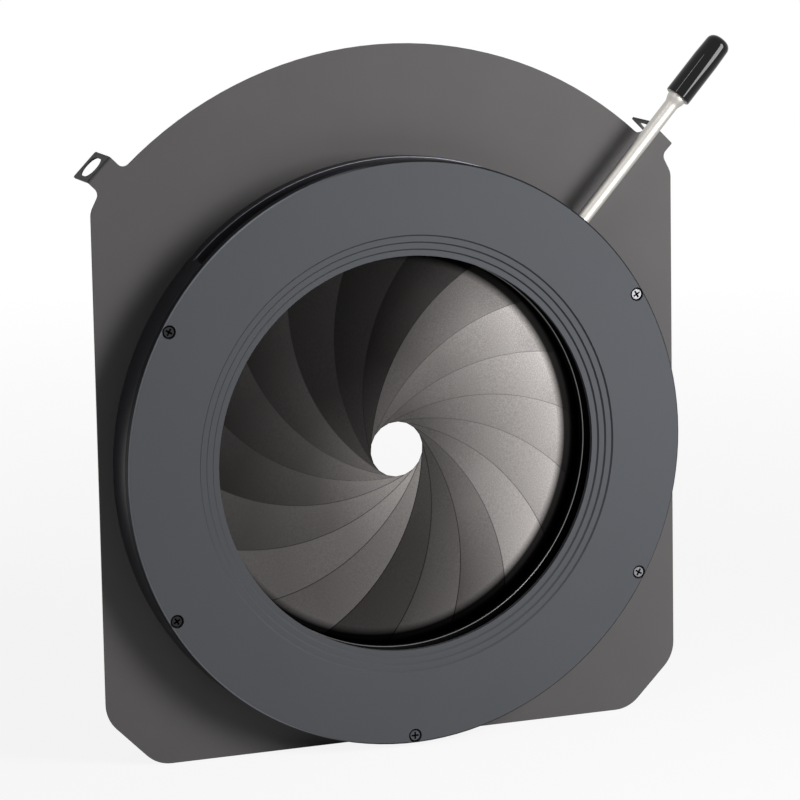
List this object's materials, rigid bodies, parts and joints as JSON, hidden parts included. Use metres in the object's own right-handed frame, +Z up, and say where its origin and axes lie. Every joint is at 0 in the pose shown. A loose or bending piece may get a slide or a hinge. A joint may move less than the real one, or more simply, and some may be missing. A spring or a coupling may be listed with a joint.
{
  "type": "iris diaphragm",
  "caption": "Round many-leaved iris diaphragm on an arched drop-in mounting plate with two folded, slotted ears, a stepped front cover and a side lever.",
  "frame": {"origin": "on the optical axis, in the plane of the mounting plate's rear face", "axes": "Y is the optical axis: the front cover faces -Y and the rear face looks along +Y; +Z is up, towards the arched edge; +X is to the right seen from the front, the side of the lever at rest"},
  "size_m": [0.203, 0.0282, 0.2128],
  "materials": {
    "plate_paint": "satin dark grey powder coat",
    "housing_black": "satin black anodised",
    "cover_grey": "satin blue-grey anodised",
    "ring_black": "glossy black anodised",
    "spring_steel": "plain spring steel",
    "screw_steel": "bright zinc",
    "screw_black": "black oxide",
    "rod_nickel": "satin nickel",
    "grip_plastic": "glossy black",
    "leaf_steel": "satin blackened",
    "stud_steel": "bright"
  },
  "bodies": {
    "body": {"mounting_plate": "plate_paint", "housing": "housing_black", "front_cover": "cover_grey", "retaining_ring": "spring_steel", "cover_screws": "screw_steel", "plate_screws": "screw_black"},
    "actuator": {"actuator_ring": "ring_black", "lever_block": "ring_black", "lever_block_screws": "screw_steel", "lever_set_screw": "screw_black", "lever_rod": "rod_nickel", "lever_grip": "grip_plastic"},
    "leaf_01": {"leaf_01": "leaf_steel", "leaf_studs_01": "stud_steel"},
    "leaf_02": {"leaf_02": "leaf_steel", "leaf_studs_02": "stud_steel"},
    "leaf_03": {"leaf_03": "leaf_steel", "leaf_studs_03": "stud_steel"},
    "leaf_04": {"leaf_04": "leaf_steel", "leaf_studs_04": "stud_steel"},
    "leaf_05": {"leaf_05": "leaf_steel", "leaf_studs_05": "stud_steel"},
    "leaf_06": {"leaf_06": "leaf_steel", "leaf_studs_06": "stud_steel"},
    "leaf_07": {"leaf_07": "leaf_steel", "leaf_studs_07": "stud_steel"},
    "leaf_08": {"leaf_08": "leaf_steel", "leaf_studs_08": "stud_steel"},
    "leaf_09": {"leaf_09": "leaf_steel", "leaf_studs_09": "stud_steel"},
    "leaf_10": {"leaf_10": "leaf_steel", "leaf_studs_10": "stud_steel"},
    "leaf_11": {"leaf_11": "leaf_steel", "leaf_studs_11": "stud_steel"},
    "leaf_12": {"leaf_12": "leaf_steel", "leaf_studs_12": "stud_steel"},
    "leaf_13": {"leaf_13": "leaf_steel", "leaf_studs_13": "stud_steel"},
    "leaf_14": {"leaf_14": "leaf_steel", "leaf_studs_14": "stud_steel"},
    "leaf_15": {"leaf_15": "leaf_steel", "leaf_studs_15": "stud_steel"},
    "leaf_16": {"leaf_16": "leaf_steel", "leaf_studs_16": "stud_steel"},
    "leaf_17": {"leaf_17": "leaf_steel", "leaf_studs_17": "stud_steel"},
    "leaf_18": {"leaf_18": "leaf_steel", "leaf_studs_18": "stud_steel"}
  },
  "joints": [
    {"name": "actuator_turn", "type": "hinge", "parent": "body", "child": "actuator", "pos_m": [0, -0.0059, 0], "axis": [0, -1, 0], "range_deg": [0, 86]},
    {"name": "leaf_pivot_01", "type": "hinge", "parent": "body", "child": "leaf_01", "pos_m": [0.04773, -0.0019, -0.05785], "axis": [0, -1, 0], "range_deg": [0, 43]},
    {"name": "leaf_pivot_02", "type": "hinge", "parent": "body", "child": "leaf_02", "pos_m": [0.06464, -0.0019, -0.03804], "axis": [0, -1, 0], "range_deg": [0, 43]},
    {"name": "leaf_pivot_03", "type": "hinge", "parent": "body", "child": "leaf_03", "pos_m": [0.07375, -0.0019, -0.01364], "axis": [0, -1, 0], "range_deg": [0, 43]},
    {"name": "leaf_pivot_04", "type": "hinge", "parent": "body", "child": "leaf_04", "pos_m": [0.07397, -0.0019, 0.01241], "axis": [0, -1, 0], "range_deg": [0, 43]},
    {"name": "leaf_pivot_05", "type": "hinge", "parent": "body", "child": "leaf_05", "pos_m": [0.06526, -0.0019, 0.03696], "axis": [0, -1, 0], "range_deg": [0, 43]},
    {"name": "leaf_pivot_06", "type": "hinge", "parent": "body", "child": "leaf_06", "pos_m": [0.04869, -0.0019, 0.05705], "axis": [0, -1, 0], "range_deg": [0, 43]},
    {"name": "leaf_pivot_07", "type": "hinge", "parent": "body", "child": "leaf_07", "pos_m": [0.02624, -0.0019, 0.07026], "axis": [0, -1, 0], "range_deg": [0, 43]},
    {"name": "leaf_pivot_08", "type": "hinge", "parent": "body", "child": "leaf_08", "pos_m": [0.00062, -0.0019, 0.075], "axis": [0, -1, 0], "range_deg": [0, 43]},
    {"name": "leaf_pivot_09", "type": "hinge", "parent": "body", "child": "leaf_09", "pos_m": [-0.02506, -0.0019, 0.07069], "axis": [0, -1, 0], "range_deg": [0, 43]},
    {"name": "leaf_pivot_10", "type": "hinge", "parent": "body", "child": "leaf_10", "pos_m": [-0.04773, -0.0019, 0.05785], "axis": [0, -1, 0], "range_deg": [0, 43]},
    {"name": "leaf_pivot_11", "type": "hinge", "parent": "body", "child": "leaf_11", "pos_m": [-0.06464, -0.0019, 0.03804], "axis": [0, -1, 0], "range_deg": [0, 43]},
    {"name": "leaf_pivot_12", "type": "hinge", "parent": "body", "child": "leaf_12", "pos_m": [-0.07375, -0.0019, 0.01364], "axis": [0, -1, 0], "range_deg": [0, 43]},
    {"name": "leaf_pivot_13", "type": "hinge", "parent": "body", "child": "leaf_13", "pos_m": [-0.07397, -0.0019, -0.01241], "axis": [0, -1, 0], "range_deg": [0, 43]},
    {"name": "leaf_pivot_14", "type": "hinge", "parent": "body", "child": "leaf_14", "pos_m": [-0.06526, -0.0019, -0.03696], "axis": [0, -1, 0], "range_deg": [0, 43]},
    {"name": "leaf_pivot_15", "type": "hinge", "parent": "body", "child": "leaf_15", "pos_m": [-0.04869, -0.0019, -0.05705], "axis": [0, -1, 0], "range_deg": [0, 43]},
    {"name": "leaf_pivot_16", "type": "hinge", "parent": "body", "child": "leaf_16", "pos_m": [-0.02624, -0.0019, -0.07026], "axis": [0, -1, 0], "range_deg": [0, 43]},
    {"name": "leaf_pivot_17", "type": "hinge", "parent": "body", "child": "leaf_17", "pos_m": [-0.00062, -0.0019, -0.075], "axis": [0, -1, 0], "range_deg": [0, 43]},
    {"name": "leaf_pivot_18", "type": "hinge", "parent": "body", "child": "leaf_18", "pos_m": [0.02506, -0.0019, -0.07069], "axis": [0, -1, 0], "range_deg": [0, 43]}
  ],
  "couplings": [
    {"joint": "leaf_pivot_01", "follows": "actuator_turn", "ratio": 0.5},
    {"joint": "leaf_pivot_02", "follows": "actuator_turn", "ratio": 0.5},
    {"joint": "leaf_pivot_03", "follows": "actuator_turn", "ratio": 0.5},
    {"joint": "leaf_pivot_04", "follows": "actuator_turn", "ratio": 0.5},
    {"joint": "leaf_pivot_05", "follows": "actuator_turn", "ratio": 0.5},
    {"joint": "leaf_pivot_06", "follows": "actuator_turn", "ratio": 0.5},
    {"joint": "leaf_pivot_07", "follows": "actuator_turn", "ratio": 0.5},
    {"joint": "leaf_pivot_08", "follows": "actuator_turn", "ratio": 0.5},
    {"joint": "leaf_pivot_09", "follows": "actuator_turn", "ratio": 0.5},
    {"joint": "leaf_pivot_10", "follows": "actuator_turn", "ratio": 0.5},
    {"joint": "leaf_pivot_11", "follows": "actuator_turn", "ratio": 0.5},
    {"joint": "leaf_pivot_12", "follows": "actuator_turn", "ratio": 0.5},
    {"joint": "leaf_pivot_13", "follows": "actuator_turn", "ratio": 0.5},
    {"joint": "leaf_pivot_14", "follows": "actuator_turn", "ratio": 0.5},
    {"joint": "leaf_pivot_15", "follows": "actuator_turn", "ratio": 0.5},
    {"joint": "leaf_pivot_16", "follows": "actuator_turn", "ratio": 0.5},
    {"joint": "leaf_pivot_17", "follows": "actuator_turn", "ratio": 0.5},
    {"joint": "leaf_pivot_18", "follows": "actuator_turn", "ratio": 0.5}
  ]
}
